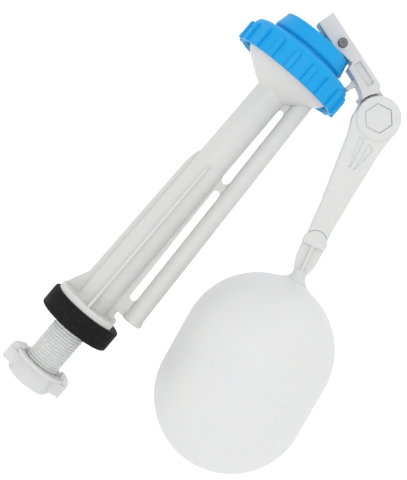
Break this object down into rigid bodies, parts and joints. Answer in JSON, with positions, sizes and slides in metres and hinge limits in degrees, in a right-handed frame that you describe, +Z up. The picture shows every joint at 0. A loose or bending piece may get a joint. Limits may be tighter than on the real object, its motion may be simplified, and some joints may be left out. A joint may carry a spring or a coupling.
{
  "type": "float valve",
  "caption": "White cistern float valve with a blue union ring and cap, black sealing washer, threaded inlet tail, dip tube and a capsule float on a hinged arm.",
  "frame": {"origin": "axis of the inlet tail at the cistern floor, under the sealing washer", "axes": "+Z up along the standpipe, +X from the standpipe to the arm and float, +Y away from the side with the clamp bolt's head"},
  "size_m": [0.1742, 0.0884, 0.273],
  "materials": {
    "white_body": "satin",
    "white_float": "satin",
    "blue": "gloss",
    "black_rubber": "matte",
    "steel": "brushed",
    "red_plastic": "satin",
    "acetal": "satin"
  },
  "bodies": {
    "body": {"inlet_tail": "white_body", "inlet_flange": "white_body", "tail_thread": "white_body", "standpipe": "white_body", "dip_tube": "white_body", "sealing_washer": "black_rubber", "inlet_strainer": "acetal", "flow_restrictor": "red_plastic", "seat_nozzle": "acetal", "nozzle_o_ring": "black_rubber", "diaphragm": "black_rubber", "head_cap": "blue", "plunger_seal": "black_rubber", "union_ring": "blue"},
    "plunger_body": {"plunger": "acetal"},
    "lever_body": {"lever": "white_body", "lever_pad": "acetal", "pivot_pin": "steel", "pin_clip": "steel"},
    "arm_body": {"arm": "white_body", "clamp_bolt": "acetal", "clamp_washer": "white_body", "clamp_wing_nut": "white_body", "float_connector": "white_body", "float_upper_shell": "white_float", "float_lower_shell": "white_float", "float_weld_band": "white_float"},
    "nut_body": {"backnut": "white_body"}
  },
  "joints": [
    {"name": "lever_pivot", "type": "hinge", "parent": "body", "child": "lever_body", "pos_m": [0.0121, 0, 0.2215], "axis": [0, -1, 0], "range_deg": [0, 15]},
    {"name": "plunger_slide", "type": "slide", "parent": "body", "child": "plunger_body", "axis": [0, 0, -1], "range_m": [0, 0.0032], "deforming": ["diaphragm"]},
    {"name": "arm_knuckle", "type": "hinge", "parent": "lever_body", "child": "arm_body", "pos_m": [0.0551, 0, 0.2028], "axis": [0, -1, 0], "range_deg": [-3, 78]},
    {"name": "backnut_slide", "type": "slide", "parent": "body", "child": "nut_body", "axis": [0, 0, 1], "range_m": [0, 0.024]}
  ],
  "couplings": [
    {"joint": "plunger_slide", "follows": "lever_pivot", "m_per_rad": 0.0121}
  ]
}
